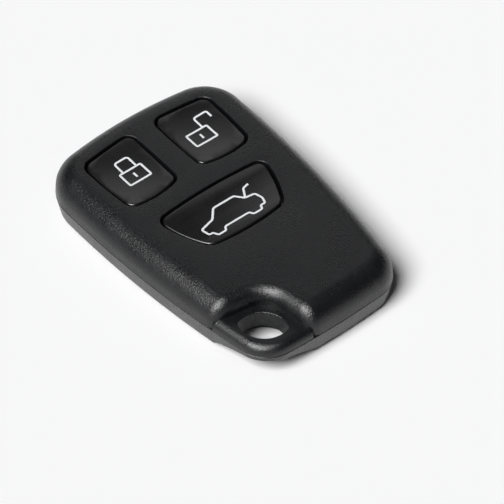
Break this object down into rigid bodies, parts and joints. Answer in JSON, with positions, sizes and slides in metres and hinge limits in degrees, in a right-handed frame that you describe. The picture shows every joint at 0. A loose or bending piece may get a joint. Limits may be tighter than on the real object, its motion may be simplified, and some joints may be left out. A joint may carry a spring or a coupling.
{
  "type": "remote key fob",
  "caption": "Black plastic remote key fob with lock, unlock and boot buttons over a sealed circuit board and coin cell, and an almond-shaped key-ring eye in one corner.",
  "frame": {"origin": "under the middle of the plan outline, on the face that it lies on", "axes": "+Z out of the button face, +Y towards the end with the two upper buttons, +X to the right of them"},
  "size_m": [0.04, 0.06, 0.0108],
  "materials": {
    "case_plastic": "fine-grained matt black moulding",
    "button_plastic": "satin black moulding",
    "mat_silicone": "soft dark grey silicone",
    "board_laminate": "green solder mask",
    "cell_steel": "bright nickel-plated steel",
    "contact_strip": "sprung plated strip",
    "chip_resin": "black moulding resin",
    "crystal_can": "satin metal lid",
    "ceramic": "fired ceramic",
    "antenna_copper": "bare copper strip",
    "switch_plastic": "black moulding",
    "plunger_plastic": "ivory moulding",
    "symbol_print": "white pad print"
  },
  "bodies": {
    "case": {"bottom_case": "case_plastic", "top_case": "case_plastic", "coin_cell": "cell_steel", "positive_contact": "contact_strip", "negative_contact": "contact_strip", "circuit_board": "board_laminate", "controller_chip": "chip_resin", "transmitter_chip": "chip_resin", "memory_chip": "chip_resin", "crystal": "crystal_can", "resonator": "crystal_can", "trimmer_capacitor": "ceramic", "power_transistor": "chip_resin", "chip_resistors": "ceramic", "chip_capacitors": "ceramic", "loop_antenna": "antenna_copper", "lock_switch": "switch_plastic", "unlock_switch": "switch_plastic", "boot_switch": "switch_plastic", "keypad_mat": "mat_silicone"},
    "lock_button": {"lock_button": "button_plastic"},
    "unlock_button": {"unlock_button": "button_plastic"},
    "boot_button": {"boot_button": "button_plastic"},
    "lock_plunger": {"lock_plunger": "plunger_plastic"},
    "unlock_plunger": {"unlock_plunger": "plunger_plastic"},
    "boot_plunger": {"boot_plunger": "plunger_plastic"}
  },
  "joints": [
    {"name": "lock_press", "type": "slide", "parent": "case", "child": "lock_button", "axis": [0, 0, -1], "range_m": [0, 0.0005], "stiffness_N_per_m": 2000, "deforming": ["keypad_mat"]},
    {"name": "unlock_press", "type": "slide", "parent": "case", "child": "unlock_button", "axis": [0, 0, -1], "range_m": [0, 0.0005], "stiffness_N_per_m": 2000, "deforming": ["keypad_mat"]},
    {"name": "boot_press", "type": "slide", "parent": "case", "child": "boot_button", "axis": [0, 0, -1], "range_m": [0, 0.0005], "stiffness_N_per_m": 2000, "deforming": ["keypad_mat"]},
    {"name": "lock_click", "type": "slide", "parent": "case", "child": "lock_plunger", "axis": [0, 0, -1], "range_m": [0, 0.00025]},
    {"name": "unlock_click", "type": "slide", "parent": "case", "child": "unlock_plunger", "axis": [0, 0, -1], "range_m": [0, 0.00025]},
    {"name": "boot_click", "type": "slide", "parent": "case", "child": "boot_plunger", "axis": [0, 0, -1], "range_m": [0, 0.00025]}
  ],
  "couplings": [
    {"joint": "lock_click", "follows": "lock_press", "ratio": 0.5},
    {"joint": "unlock_click", "follows": "unlock_press", "ratio": 0.5},
    {"joint": "boot_click", "follows": "boot_press", "ratio": 0.5}
  ]
}
